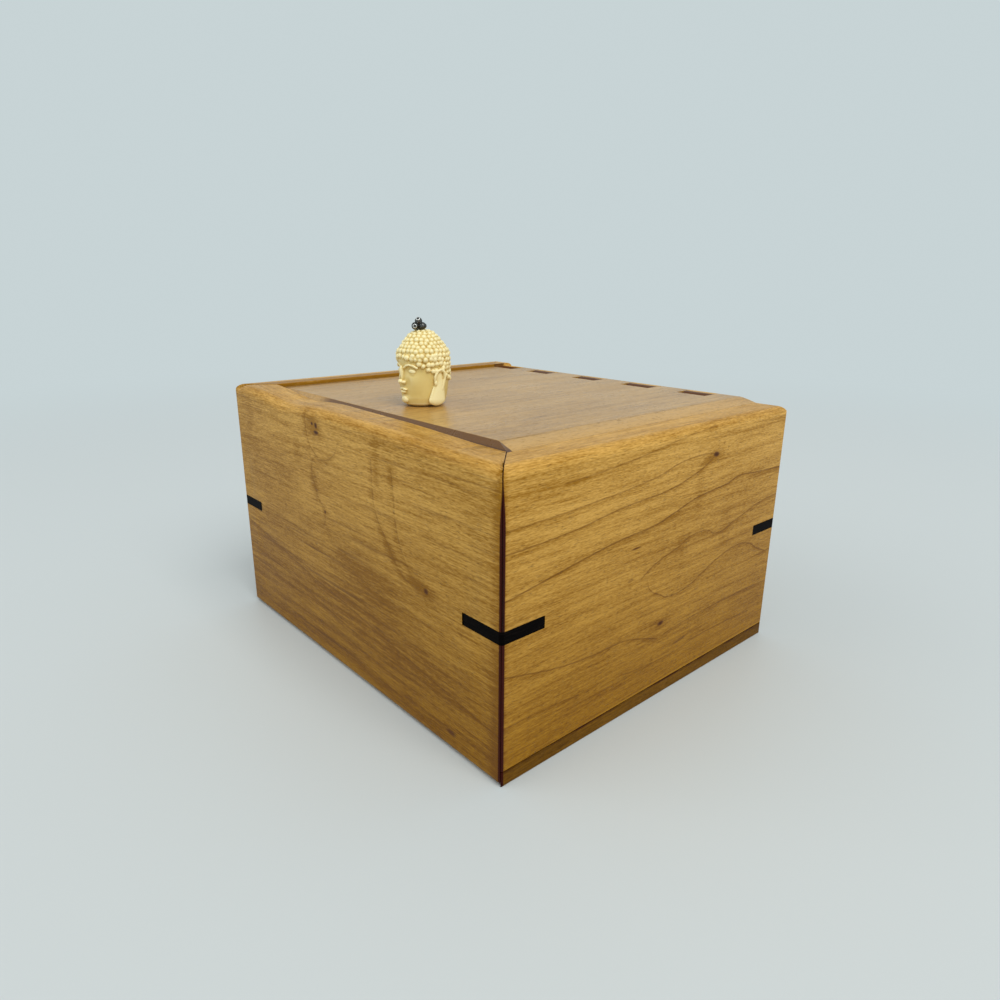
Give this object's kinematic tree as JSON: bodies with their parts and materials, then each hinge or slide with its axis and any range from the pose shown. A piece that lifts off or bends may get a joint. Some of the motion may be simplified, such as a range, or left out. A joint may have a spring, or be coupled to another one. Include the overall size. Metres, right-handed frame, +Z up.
{
  "type": "wooden keepsake box",
  "caption": "Box of mitred, keyed wooden sides with a flat lid on a wooden knuckle hinge and a carved head bead as its knob.",
  "frame": {"origin": "centre of the underside, level with the surface it stands on", "axes": "+X to the right along the front, +Y from the front to the hinge at the back, +Z up"},
  "size_m": [0.1672, 0.145, 0.1269],
  "materials": {
    "brown_wood": "satin",
    "golden_wood": "satin",
    "dark_wood": "satin",
    "black_wood": "satin",
    "pale_wood": "matte",
    "steel": "brushed",
    "cream_resin": "satin",
    "dark_silver": "oxidised"
  },
  "bodies": {
    "box": {"front_side": "brown_wood", "back_side": "brown_wood", "left_side": "brown_wood", "right_side": "golden_wood", "right_base_strip": "dark_wood", "bottom_panel": "pale_wood", "corner_key_front_right": "black_wood", "corner_key_back_right": "black_wood", "corner_key_back_left": "black_wood", "corner_key_front_left": "black_wood", "hinge_pin": "steel", "front_lid_rest": "pale_wood", "left_lid_rest": "pale_wood", "right_lid_rest": "pale_wood"},
    "lid": {"lid": "brown_wood", "knob_head": "cream_resin", "knob_pin": "dark_silver"}
  },
  "joints": [
    {"name": "lid_hinge", "type": "hinge", "parent": "box", "child": "lid", "pos_m": [0, 0.06615, 0.09005], "axis": [-1, 0, 0], "range_deg": [0, 95]}
  ]
}
